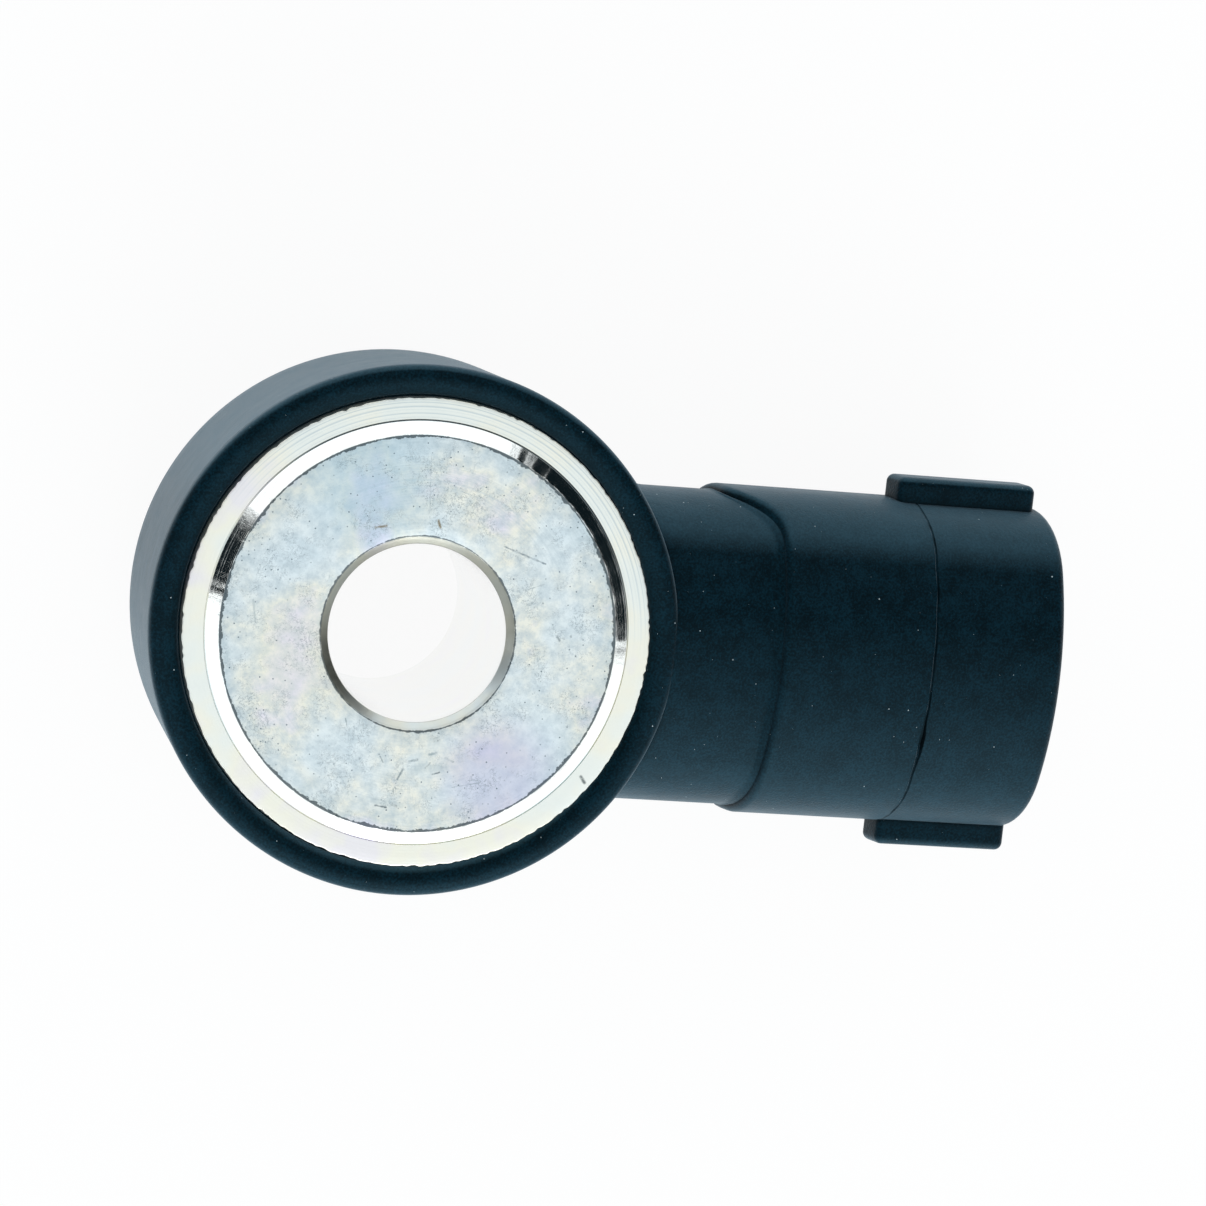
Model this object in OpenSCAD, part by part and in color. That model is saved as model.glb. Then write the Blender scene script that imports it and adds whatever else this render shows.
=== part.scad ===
// Flat-response engine knock sensor, ring type, with an angled two-pin plug socket.
// Lies on its bolt-head end: bore axis on Z, contact face up, socket towards +X.

/* [Sleeve and contact face] */
// Diameter of the through bore for the fixing bolt
bore_d = 8.4; // [6.4:0.1:8.6]
// Height from the bolt-head end to the contact face
sleeve_l = 16.2; // [16.2:0.1:18]
// Outer diameter of the sleeve tube
tube_d = 11.2; // [11:0.1:11.6]
// Diameter of the flange that the contact face stands on
flange_d = 22.14; // [21.6:0.02:22.4]
// Diameter of the raised contact face
face_d = 18.7; // [16:0.1:19]
// Height of the contact face above the flange
face_h = 0.45; // [0.2:0.05:0.8]
// Width of the bevel round the contact face
face_bevel = 0.62; // [0.3:0.02:0.8]
// Thickness of the flange under the contact face
flange_t = 2.6; // [2:0.1:2.6]

/* [Housing] */
// Outer diameter of the round body at its rim
body_d = 25.1; // [24.8:0.1:26]
// Outer diameter at the lower end of its tapered wall
narrow_d = 24.3; // [23.4:0.1:24.6]
// How far the rim of the body lies below the contact face
rim_drop = 0.85; // [0.7:0.05:1.2]
// Rounding radius on the crest of the rim
rim_r = 0.6; // [0.4:0.05:0.65]
// Diameter of the narrower part on the bolt-head side
foot_d = 21; // [20.6:0.1:22]
// Height at which the body narrows to its foot
narrow_z = 3.2; // [2.8:0.1:4]
// Gap between the bolt-head end of the sleeve and the plastic
foot_z = 0.4; // [0.2:0.1:0.6]

/* [Socket] */
// Angle by which the socket leans away from the contact face
lean = 15; // [12:0.5:15]
// How far the socket axis crosses the bore axis below the contact face
axis_drop = 2.5; // [2.3:0.1:3]
// Width of the shroud across the socket
shroud_w = 15.6; // [15.2:0.1:16]
// Thickness of the shroud
shroud_t = 10.5; // [10.2:0.1:10.6]
// Corner radius of the shroud
shroud_r = 4.2; // [3.8:0.1:4.4]
// Radius of the crown on the broad sides of the shroud and neck
crown_r = 14; // [13:0.5:20]
// Distance along the socket axis to the shoulder
shoulder_s = 17.1; // [16.6:0.1:18]
// Distance along the socket axis to the mould seam and the rib ends
seam_s = 25; // [24:0.1:26]
// Distance along the socket axis to the mouth
mouth_s = 32; // [31:0.05:32.1]
// Wall thickness of the shroud
shroud_wall = 1.5; // [1.2:0.1:1.6]
// Distance along the socket axis to the floor of the socket
floor_s = 21; // [20.8:0.1:21.5]
// Thickness of the guide ribs
rib_t = 1.9; // [1.4:0.1:2.4]
// How far the guide ribs stand out of the sides
rib_h = 1.1; // [0.9:0.1:1.3]
// How much closer to the body the left-hand rib starts
rib_lead = 0.7; // [0:0.1:1]

/* [Neck] */
// Width of the neck
neck_w = 15; // [14.4:0.1:15.1]
// How far the contact-face side of the neck is set back from the shroud
neck_step_near = 0.6; // [0.5:0.1:0.9]
// How far the bolt-head side of the neck is set back from the shroud
neck_step_far = 0.6; // [0.3:0.1:0.9]

/* [Sensing stack] */
// Thickness of each insulating washer
insulator_t = 0.4; // [0.2:0.1:0.4]
// Thickness of each electrode
electrode_t = 0.3; // [0.2:0.05:0.3]
// Thickness of the piezo ring
piezo_t = 2.5; // [2:0.1:2.5]
// Outer diameter of the piezo ring
piezo_d = 19; // [16:0.1:19.2]
// Thickness of the seismic mass
mass_t = 4.6; // [3.5:0.1:4.6]
// Outer diameter of the seismic mass
mass_d = 20; // [18:0.1:20]
// Thickness of the disc spring
spring_t = 0.8; // [0.6:0.05:0.8]
// Outer diameter of the disc spring
spring_d = 18; // [15:0.1:18]
// Thickness of the clamp nut
nut_t = 3; // [2:0.1:3]
// Width of the clamp nut across its flats
nut_w = 15; // [14:0.1:15]

/* [Contacts] */
// Distance between the two pins
pin_pitch = 5; // [4.8:0.1:5.4]
// Width of the pin blades
pin_w = 2.8; // [2.2:0.1:2.8]
// Thickness of the pins
pin_t = 0.8; // [0.6:0.1:0.8]
// Distance along the socket axis to the tips of the pins
pin_tip_s = 28.2; // [27:0.1:28.4]

/* [Hidden] */
$fn = 96;
fine = 0.01;
over = 1;
face_z = sleeve_l;
ring_z = face_z - face_h;
under_z = face_z - flange_t;
rim_z = face_z - rim_drop;
tube_r = tube_d / 2;
bore_r = bore_d / 2;
sleeve_wrap = 0.5;
wrap_r = tube_r + sleeve_wrap;
bore_chamfer = 0.5;
end_chamfer = 0.3;
key_depth = 0.5;
key_rise = 0.75;
key_z = under_z + key_rise;
key_h = 0.6;
ins1_z = under_z - insulator_t;
el1_z = ins1_z - electrode_t;
piezo_z = el1_z - piezo_t;
el2_z = piezo_z - electrode_t;
ins2_z = el2_z - insulator_t;
mass_z = ins2_z - mass_t;
spring_z = mass_z - spring_t;
nut_z = spring_z - nut_t;
nut_sides = 6;
nut_r = nut_w / 2 / cos(180 / nut_sides);
insulator_d = mass_d;
electrode_d = piezo_d + 0.2;
spring_dish = 0.25;
valley_drop = 0.4;
valley_z = rim_z - valley_drop;
valley_r = body_d / 2 - rim_r;
foot_edge = 0.8;
cone_h = 1.1;
pin_y = pin_pitch / 2;
tab_w = 2;
tab_x = 11.3;
tab_end_x = 12.2;
foot_x = 10.8;
foot_l = 2.6;
foot_t = 0.6;
strip_w = 1.6;
strip_s = 13;
blade_s = 20.3;
tip_l = 0.8;
tip_w = 0.5;
tip_t = 0.15;
carrier_s = 14.2;
carrier_l = 5.6;
carrier_w = 10.4;
carrier_t = 3.6;
resistor_s = 16.4;
resistor_d = 1.5;
resistor_l = 1.8;
cap_d = 1.7;
cap_l = 0.4;
lead_d = 0.5;
neck_start_s = 7.5;
neck_t = shroud_t - neck_step_near - neck_step_far;
neck_shift = (neck_step_far - neck_step_near) / 2;
neck_r = 3.9;
socket_r = 2.2;
rib_mid_t = 0.4;
rib_edge = 0.25;
mouth_edge = 0.35;
shoulder_edge = 0.3;

// Turns into the frame of the socket: x along its axis, z square to its flat side.
module socket_frame() {
  translate([0, 0, face_z - axis_drop]) rotate([0, lean, 0]) children();
}

// Extrudes a section drawn in width and thickness along the socket axis.
module along(from, to) {
  translate([from, 0, 0]) rotate([90, 0, 90]) linear_extrude(height = to - from) children();
}

module rounded_rect(w, t, r) {
  square([w - 2 * r, t], center = true);
  square([w, t - 2 * r], center = true);
  for (x = [-1, 1], y = [-1, 1])
    translate([x * (w / 2 - r), y * (t / 2 - r)]) circle(r = r);
}

// Rounded rectangle whose crowned broad sides run smoothly into its corners.
module crowned_rect(w, t, r) {
  tip = asin((w / 2 - r) / (crown_r - r));
  corner_t = max(t / 2 - crown_r + (crown_r - r) * cos(tip), fine);
  rounded_rect(w, 2 * (corner_t + r), r);
  intersection() {
    square([2 * crown_r * sin(tip), t], center = true);
    translate([0, t / 2 - crown_r]) circle(r = crown_r, $fn = 240);
    translate([0, crown_r - t / 2]) circle(r = crown_r, $fn = 240);
  }
}

module washer(z, h, r_out, r_in) {
  translate([0, 0, z]) difference() {
    cylinder(h = h, r = r_out);
    translate([0, 0, -over]) cylinder(h = h + 2 * over, r = r_in);
  }
}

module flanged_sleeve() {
  color("Silver") rotate_extrude() polygon([
    [bore_r, 0], [tube_r - end_chamfer, 0], [tube_r, end_chamfer],
    [tube_r, under_z], [flange_d / 2, under_z],
    [flange_d / 2, key_z], [flange_d / 2 - key_depth, key_z],
    [flange_d / 2 - key_depth, key_z + key_h], [flange_d / 2, key_z + key_h],
    [flange_d / 2, ring_z], [face_d / 2 + face_bevel, ring_z], [face_d / 2, face_z],
    [bore_r + bore_chamfer, face_z], [bore_r, face_z - bore_chamfer]
  ]);
}

module insulating_sleeve() {
  color("Ivory") washer(ins2_z, under_z - ins2_z, wrap_r, tube_r);
}

module lower_insulator() {
  color("Beige") washer(ins1_z, insulator_t, insulator_d / 2, wrap_r);
}

module upper_insulator() {
  color("Beige") washer(ins2_z, insulator_t, insulator_d / 2, wrap_r);
}

module piezo_ring() {
  color("LightGray") washer(piezo_z, piezo_t, piezo_d / 2, wrap_r);
}

// The electrode next to the flange: its tab steps down to the foot of the first pin.
module lower_electrode() {
  color("Goldenrod") union() {
    washer(el1_z, electrode_t, electrode_d / 2, wrap_r);
    difference() {
      union() {
        translate([wrap_r + over, pin_y - tab_w / 2, el1_z])
          cube([tab_x + electrode_t - wrap_r - over, tab_w, electrode_t]);
        translate([tab_x, pin_y - tab_w / 2, el2_z])
          cube([electrode_t, tab_w, el1_z + electrode_t - el2_z]);
      }
      translate([0, 0, el2_z - over]) cylinder(h = face_z, r = wrap_r);
    }
  }
}

module upper_electrode() {
  color("Goldenrod") union() {
    washer(el2_z, electrode_t, electrode_d / 2, wrap_r);
    difference() {
      translate([wrap_r + over, -pin_y - tab_w / 2, el2_z])
        cube([tab_end_x - wrap_r - over, tab_w, electrode_t]);
      translate([0, 0, el2_z - over]) cylinder(h = face_z, r = wrap_r);
    }
  }
}

module seismic_mass() {
  color("DarkGoldenrod") washer(mass_z, mass_t, mass_d / 2, tube_r);
}

module disc_spring() {
  color("SteelBlue") rotate_extrude() polygon([
    [tube_r, spring_z], [spring_d / 2, spring_z + spring_dish],
    [spring_d / 2, mass_z], [tube_r, mass_z - spring_dish]
  ]);
}

module clamp_nut() {
  color("DimGray") translate([0, 0, nut_z]) difference() {
    cylinder(h = nut_t, r = nut_r, $fn = nut_sides);
    translate([0, 0, -over]) cylinder(h = nut_t + 2 * over, r = tube_r);
  }
}

module pin(side) {
  translate([foot_x, side * pin_y - strip_w / 2, el2_z - foot_t]) cube([foot_l, strip_w, foot_t]);
  socket_frame() translate([0, side * pin_y, 0]) intersection() {
    translate([0, 0, -pin_t / 2]) linear_extrude(height = pin_t) polygon([
      [strip_s, -strip_w / 2], [blade_s, -strip_w / 2], [blade_s, -pin_w / 2],
      [pin_tip_s - tip_l, -pin_w / 2], [pin_tip_s, tip_w - pin_w / 2],
      [pin_tip_s, pin_w / 2 - tip_w], [pin_tip_s - tip_l, pin_w / 2],
      [blade_s, pin_w / 2], [blade_s, strip_w / 2], [strip_s, strip_w / 2]
    ]);
    translate([0, pin_w, 0]) rotate([90, 0, 0]) linear_extrude(height = 2 * pin_w) polygon([
      [strip_s, -pin_t / 2], [pin_tip_s - tip_l, -pin_t / 2], [pin_tip_s, tip_t - pin_t / 2],
      [pin_tip_s, pin_t / 2 - tip_t], [pin_tip_s - tip_l, pin_t / 2], [strip_s, pin_t / 2]
    ]);
  }
}

module terminal_pin_a() {
  color("Gainsboro") pin(1);
}

module terminal_pin_b() {
  color("Gainsboro") pin(-1);
}

// Round piece lying across the socket, used by the shunt resistor.
module cross_rod(y_from, y_to, d) {
  socket_frame() translate([resistor_s, y_to, 0]) rotate([90, 0, 0])
    cylinder(h = y_to - y_from, d = d, $fn = 48);
}

module resistor_body() {
  color("SandyBrown") cross_rod(-resistor_l / 2, resistor_l / 2, resistor_d);
}

module resistor_cap_a() {
  color("Silver") cross_rod(resistor_l / 2, resistor_l / 2 + cap_l, cap_d);
}

module resistor_cap_b() {
  color("Silver") cross_rod(-resistor_l / 2 - cap_l, -resistor_l / 2, cap_d);
}

module resistor_lead_a() {
  color("Silver") cross_rod(resistor_l / 2 + cap_l, pin_y - strip_w / 2, lead_d);
}

module resistor_lead_b() {
  color("Silver") cross_rod(strip_w / 2 - pin_y, -resistor_l / 2 - cap_l, lead_d);
}

module carrier_block() {
  socket_frame() translate([carrier_s, -carrier_w / 2, -carrier_t / 2])
    cube([carrier_l, carrier_w, carrier_t]);
}

module resistor() {
  resistor_body();
  resistor_cap_a();
  resistor_cap_b();
  resistor_lead_a();
  resistor_lead_b();
}

module terminal_carrier() {
  color("DarkSlateGray") difference() {
    carrier_block();
    pin(1);
    pin(-1);
    resistor();
  }
}

module body_outside() {
  rotate_extrude() union() {
    translate([0, narrow_z]) square([valley_r, valley_z - narrow_z]);
    polygon([[0, narrow_z], [narrow_d / 2, narrow_z], [body_d / 2, rim_z - rim_r],
             [0, rim_z - rim_r]]);
    translate([valley_r, rim_z - rim_r]) circle(r = rim_r, $fn = 48);
    translate([0, foot_z + foot_edge]) square([foot_d / 2, narrow_z - foot_z - foot_edge]);
    translate([0, foot_z]) square([foot_d / 2 - foot_edge, foot_edge + fine]);
    translate([foot_d / 2 - foot_edge, foot_z + foot_edge]) circle(r = foot_edge, $fn = 48);
    polygon([[0, narrow_z], [foot_d / 2 - fine, narrow_z - cone_h],
             [foot_d / 2, narrow_z - cone_h], [narrow_d / 2, narrow_z],
             [narrow_d / 2, narrow_z + fine], [0, narrow_z + fine]]);
  }
}

module socket_outside() {
  socket_frame() {
    translate([0, 0, neck_shift])
      along(neck_start_s, shoulder_s + over) crowned_rect(neck_w, neck_t, neck_r);
    along(shoulder_s + shoulder_edge, mouth_s - mouth_edge)
      crowned_rect(shroud_w, shroud_t, shroud_r);
    along(shoulder_s, mouth_s)
      crowned_rect(shroud_w - shoulder_edge, shroud_t - shoulder_edge, shroud_r - shoulder_edge / 2);
    for (side = [-1, 1])
      translate([0, side * (shroud_w / 2 + rib_h / 2 - over / 2), rib_mid_t])
        along(side > 0 ? seam_s - rib_lead : seam_s, mouth_s)
          rounded_rect(rib_h + over, rib_t, rib_edge);
  }
}

// Everything that the plastic is moulded round, as one plain envelope.
module stack_envelope() {
  rotate_extrude() polygon([
    [0, -over], [tube_r, -over], [tube_r, nut_z], [tube_r, spring_z], [spring_d / 2, spring_z],
    [spring_d / 2, mass_z], [mass_d / 2, mass_z], [mass_d / 2, el2_z],
    [electrode_d / 2, el2_z], [electrode_d / 2, piezo_z], [piezo_d / 2, piezo_z],
    [piezo_d / 2, el1_z], [electrode_d / 2, el1_z], [electrode_d / 2, ins1_z],
    [insulator_d / 2, ins1_z], [insulator_d / 2, under_z], [flange_d / 2, under_z],
    [flange_d / 2, key_z], [flange_d / 2 - key_depth, key_z],
    [flange_d / 2 - key_depth, key_z + key_h], [flange_d / 2, key_z + key_h],
    [flange_d / 2, face_z + over], [0, face_z + over]
  ]);
}

module housing() {
  color("#1c2a30") difference() {
    union() {
      body_outside();
      difference() {
        socket_outside();
        translate([0, 0, valley_z]) cylinder(h = face_z, r = valley_r);
      }
    }
    stack_envelope();
    clamp_nut();
    lower_electrode();
    upper_electrode();
    pin(1);
    pin(-1);
    carrier_block();
    socket_frame() along(floor_s, mouth_s + over)
      rounded_rect(shroud_w - 2 * shroud_wall, shroud_t - 2 * shroud_wall, socket_r);
  }
}

housing();
flanged_sleeve();
insulating_sleeve();
lower_insulator();
lower_electrode();
piezo_ring();
upper_electrode();
upper_insulator();
seismic_mass();
disc_spring();
clamp_nut();
terminal_pin_a();
terminal_pin_b();
terminal_carrier();
resistor_body();
resistor_cap_a();
resistor_cap_b();
resistor_lead_a();
resistor_lead_b();
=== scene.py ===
import bpy
import bmesh
import math
from mathutils import Matrix, Vector, noise


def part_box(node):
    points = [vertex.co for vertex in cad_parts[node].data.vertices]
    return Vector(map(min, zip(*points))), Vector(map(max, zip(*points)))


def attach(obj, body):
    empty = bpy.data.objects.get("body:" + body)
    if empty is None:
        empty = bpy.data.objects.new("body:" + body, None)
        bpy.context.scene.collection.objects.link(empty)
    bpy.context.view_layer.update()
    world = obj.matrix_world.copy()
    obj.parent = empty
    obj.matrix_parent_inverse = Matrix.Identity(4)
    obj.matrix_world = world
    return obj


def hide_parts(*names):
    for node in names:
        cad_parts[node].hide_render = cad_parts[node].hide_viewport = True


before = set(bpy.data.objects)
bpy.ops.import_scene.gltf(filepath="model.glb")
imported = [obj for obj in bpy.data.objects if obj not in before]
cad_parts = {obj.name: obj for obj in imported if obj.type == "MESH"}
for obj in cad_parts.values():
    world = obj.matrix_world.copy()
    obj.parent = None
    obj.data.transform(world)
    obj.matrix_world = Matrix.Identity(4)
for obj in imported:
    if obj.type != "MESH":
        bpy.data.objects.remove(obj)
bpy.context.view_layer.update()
mm = 0.001

# sizes that the frame gives, in millimetres
sleeveLow, sleeveHigh = (Vector(v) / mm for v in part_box("flanged_sleeve"))
massLow, massHigh = (Vector(v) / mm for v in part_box("seismic_mass"))
springLow, springHigh = (Vector(v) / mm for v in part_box("disc_spring"))
nutLow, nutHigh = (Vector(v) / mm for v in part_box("clamp_nut"))
underLow, underHigh = (Vector(v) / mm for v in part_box("lower_insulator"))
faceZ = sleeveHigh.z
flangeR = sleeveHigh.x
print("frame loaded, contact face at", round(faceZ, 2), "mm")


def srgbToLinear(hexText, alpha=1.0):
    channels = [int(hexText[i:i + 2], 16) / 255 for i in (1, 3, 5)]
    linear = [c / 12.92 if c <= 0.04045 else ((c + 0.055) / 1.055) ** 2.4 for c in channels]
    return (*linear, alpha)


def addNode(tree, kind, sockets=None, **settings):
    node = tree.nodes.new(kind)
    for key, value in settings.items():
        setattr(node, key, value)
    for key, value in (sockets or {}).items():
        if isinstance(value, bpy.types.NodeSocket):
            tree.links.new(value, node.inputs[key])
        else:
            node.inputs[key].default_value = value
    return node


def newMaterial(name, shader):
    # a material with one Principled shader, whose plain values are given by socket name
    material = bpy.data.materials.new(name)
    material.use_nodes = True
    tree = material.node_tree
    tree.nodes.clear()
    principled = addNode(tree, "ShaderNodeBsdfPrincipled", shader)
    output = addNode(tree, "ShaderNodeOutputMaterial", {"Surface": principled.outputs["BSDF"]})
    output.location = (300, 0)
    return material, tree, principled


def ramp(tree, factor, stops):
    # stops are (position, grey level or rgba)
    node = addNode(tree, "ShaderNodeValToRGB", {"Fac": factor})
    elements = node.color_ramp.elements
    while len(elements) < len(stops):
        elements.new(0.5)
    for element, (position, colour) in zip(elements, stops):
        element.position = position
        element.color = colour if isinstance(colour, tuple) else (colour, colour, colour, 1)
    return node


def mathNode(tree, operation, a, b=0.0, clamp=False):
    return addNode(tree, "ShaderNodeMath", {0: a, 1: b}, operation=operation,
                   use_clamp=clamp).outputs[0]


def smoothStep(low, high, value):
    x = min(max((value - low) / (high - low), 0.0), 1.0)
    return x * x * (3 - 2 * x)


def arc(centreR, centreZ, radius, startDeg, endDeg, steps):
    points = []
    for i in range(steps + 1):
        a = math.radians(startDeg + (endDeg - startDeg) * i / steps)
        points.append((centreR + radius * math.cos(a), centreZ + radius * math.sin(a)))
    return points


def subdivided(profile, longest):
    # adds points so that no stretch of a closed profile is longer than the limit
    points = []
    for (r0, z0), (r1, z1) in zip(profile, profile[1:] + profile[:1]):
        count = max(1, math.ceil(math.hypot(r1 - r0, z1 - z0) / longest))
        points += [(r0 + (r1 - r0) * i / count, z0 + (z1 - z0) * i / count) for i in range(count)]
    return points


def latheRings(bm, profile, segments, wobble=None):
    # turns a closed profile of (radius, height) in millimetres round the bore axis
    rings = []
    for step in range(segments):
        angle = 2 * math.pi * step / segments
        ring = []
        for r, z in profile:
            if wobble:
                r, z = wobble(r, z, angle)
            ring.append(bm.verts.new((r * math.cos(angle) * mm, r * math.sin(angle) * mm, z * mm)))
        rings.append(ring)
    count = len(profile)
    for step in range(segments):
        a, b = rings[step], rings[(step + 1) % segments]
        for i in range(count):
            j = (i + 1) % count
            bm.faces.new((a[i], b[i], b[j], a[j]))


def loftRings(bm, rings):
    # joins rings of points, in metres, and closes both ends
    made = [[bm.verts.new(p) for p in ring] for ring in rings]
    count = len(made[0])
    for a, b in zip(made, made[1:]):
        for i in range(count):
            j = (i + 1) % count
            bm.faces.new((a[i], a[j], b[j], b[i]))
    for ring, flip in ((made[0], True), (made[-1], False)):
        centre = bm.verts.new(sum((v.co for v in ring), Vector()) / count)
        for i in range(count):
            pair = (ring[(i + 1) % count], ring[i]) if flip else (ring[i], ring[(i + 1) % count])
            bm.faces.new((*pair, centre))


def finishMesh(bm, name, material, sharpDeg=32):
    bmesh.ops.recalc_face_normals(bm, faces=bm.faces)
    for face in bm.faces:
        face.smooth = True
    limit = math.radians(sharpDeg)
    for edge in bm.edges:
        if len(edge.link_faces) == 2 and edge.calc_face_angle(0) > limit:
            edge.smooth = False
    mesh = bpy.data.meshes.new(name)
    bm.to_mesh(mesh)
    bm.free()
    mesh.materials.append(material)
    obj = bpy.data.objects.new(name, mesh)
    bpy.context.scene.collection.objects.link(obj)
    return obj


# glass-filled nylon, injection moulded: a blue-black satin skin with a very fine grain and a few
# white dust specks; steep walls carry a painted paler sheen, streaked with drag marks where they slid
# out of the mould, faces turned along Y a painted paler sheen, and corners and the seam painted shade
nylonLook = {
    "deep": "#010b11", "worn": "#05202b", "facingSheen": "#3a5866", "wallSheen": "#708a98", "speck": "#c6d6dc",
    "nookShade": "#010406",
    "gloss": 0.1, "roughness": 0.42, "grainMm": 0.1, "mottleMm": 1.3,
    "speckMm": 0.26, "speckShare": 0.28, "dragMm": 1.2, "wallSheenShare": 0.32, "nookShadeMm": 0.5,
    "dust": "#bcd6e6", "dustShare": 0.25,
}


def makeNylon(name, look):
    material, tree, principled = newMaterial(name, {
        "Metallic": 0.0, "IOR": 1.53, "Specular IOR Level": look["gloss"],
        "Specular Tint": srgbToLinear("#8fcbe2"), "Sheen Weight": look["dustShare"],
        "Sheen Roughness": 0.35, "Sheen Tint": srgbToLinear(look["dust"])})
    place = addNode(tree, "ShaderNodeTexCoord").outputs["Object"]
    mottle = addNode(tree, "ShaderNodeTexNoise", {
        "Vector": place, "Scale": 1 / (look["mottleMm"] * mm), "Detail": 6.0, "Roughness": 0.7})
    grain = addNode(tree, "ShaderNodeTexNoise", {
        "Vector": place, "Scale": 1 / (look["grainMm"] * mm), "Detail": 2.0})
    mixed = mathNode(tree, "ADD", mathNode(tree, "MULTIPLY", mottle.outputs["Fac"], 0.4),
                     mathNode(tree, "MULTIPLY", grain.outputs["Fac"], 0.6))
    uneven = ramp(tree, mixed, [(0.43, 0.0), (0.6, 1.0)])
    base = addNode(tree, "ShaderNodeMix", {
        0: uneven.outputs["Color"], 6: srgbToLinear(look["deep"]),
        7: srgbToLinear(look["worn"])}, data_type="RGBA")
    # painted sheen: steep walls are painted paler, in streaks that run round the body
    axes = addNode(tree, "ShaderNodeSeparateXYZ", {"Vector": place})
    facing = addNode(tree, "ShaderNodeSeparateXYZ", {
        "Vector": addNode(tree, "ShaderNodeNewGeometry").outputs["Normal"]})
    steep = addNode(tree, "ShaderNodeMapRange", {
        "Value": mathNode(tree, "ABSOLUTE", facing.outputs["Z"]), "From Min": 0.8,
        "From Max": 0.2}, interpolation_type="SMOOTHSTEP")
    onBody = addNode(tree, "ShaderNodeMapRange", {
        "Value": axes.outputs["X"], "From Min": 14.5 * mm, "From Max": 11.5 * mm},
        interpolation_type="SMOOTHSTEP")
    sideways = mathNode(tree, "MAXIMUM", onBody.outputs[0], mathNode(
        tree, "MULTIPLY", mathNode(tree, "ABSOLUTE", facing.outputs["Y"]), 0.5))
    turn = mathNode(tree, "ARCTAN2", axes.outputs["Y"], axes.outputs["X"])
    unrolled = addNode(tree, "ShaderNodeCombineXYZ", {
        "X": mathNode(tree, "MULTIPLY", turn, 12.6 / look["dragMm"] / 3),
        "Y": mathNode(tree, "DIVIDE", axes.outputs["Z"], look["dragMm"] * mm / 3)})
    drag = addNode(tree, "ShaderNodeTexNoise", {
        "Vector": unrolled.outputs[0], "Scale": 1.0, "Detail": 8.0, "Roughness": 0.72})
    streak = ramp(tree, drag.outputs["Fac"], [(0.34, 0.4), (0.5, 0.75), (0.64, 1.0)])
    paintedSheenShare = mathNode(tree, "MULTIPLY", mathNode(
        tree, "MULTIPLY", mathNode(tree, "MULTIPLY", steep.outputs[0], sideways),
        streak.outputs["Color"]), look["wallSheenShare"])
    # painted light and shade by facing: faces tipped well towards +Y or -Y are painted paler, +Y most, while faces
    # near square-on keep the darker base
    leaning = addNode(tree, "ShaderNodeMapRange", {
        "Value": facing.outputs["Y"], "From Min": -1.0, "From Max": 1.0})
    facingSheenShare = ramp(tree, leaning.outputs[0], [
        (0.15, 0.45), (0.3, 0.3), (0.44, 0.1), (0.58, 0.0), (0.68, 0.02), (0.8, 0.6), (0.9, 0.75)])
    facingSheen = addNode(tree, "ShaderNodeMix", {
        0: mathNode(tree, "MULTIPLY", facingSheenShare.outputs["Color"], mathNode(
            tree, "ADD", mixed, 0.3)),
        6: base.outputs[2], 7: srgbToLinear(look["facingSheen"])}, data_type="RGBA")
    sheenPainted = addNode(tree, "ShaderNodeMix", {
        0: paintedSheenShare, 6: facingSheen.outputs[2], 7: srgbToLinear(look["wallSheen"])}, data_type="RGBA")
    cells = addNode(tree, "ShaderNodeTexVoronoi", {
        "Vector": place, "Scale": 1 / (look["speckMm"] * mm), "Randomness": 1.0})
    pick = addNode(tree, "ShaderNodeSeparateColor", {"Color": cells.outputs["Color"]})
    chosen = mathNode(tree, "LESS_THAN", pick.outputs["Red"], look["speckShare"])
    size = mathNode(tree, "ADD", 0.03, mathNode(tree, "MULTIPLY", mathNode(
        tree, "POWER", pick.outputs["Green"], 4.0), 0.11))
    inside = mathNode(tree, "LESS_THAN", cells.outputs["Distance"], size)
    speck = mathNode(tree, "MULTIPLY", chosen, inside)
    dusty = addNode(tree, "ShaderNodeMix", {
        0: mathNode(tree, "MULTIPLY", speck, pick.outputs["Blue"]),
        6: sheenPainted.outputs[2], 7: srgbToLinear(look["speck"])}, data_type="RGBA")
    # painted shade: corners and the seam are darkened by a local ambient-occlusion mask
    nook = addNode(tree, "ShaderNodeAmbientOcclusion", {"Distance": look["nookShadeMm"] * mm},
                   samples=8, only_local=True)
    nookShadeShare = ramp(tree, nook.outputs["AO"], [(0.5, 0.95), (0.93, 0.0)])
    nookShaded = addNode(tree, "ShaderNodeMix", {
        0: nookShadeShare.outputs["Color"], 6: dusty.outputs[2], 7: srgbToLinear(look["nookShade"])},
        data_type="RGBA")
    tree.links.new(nookShaded.outputs[2], principled.inputs["Base Color"])
    rough = addNode(tree, "ShaderNodeMapRange", {
        "Value": mottle.outputs["Fac"], "To Min": look["roughness"] - 0.1,
        "To Max": look["roughness"] + 0.1})
    tree.links.new(rough.outputs[0], principled.inputs["Roughness"])
    bump = addNode(tree, "ShaderNodeBump", {
        "Height": grain.outputs["Fac"], "Strength": 0.7, "Distance": 0.03 * mm})
    tree.links.new(bump.outputs["Normal"], principled.inputs["Normal"])
    return material


glassFilledNylon = makeNylon("glassFilledNylon", nylonLook)

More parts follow.
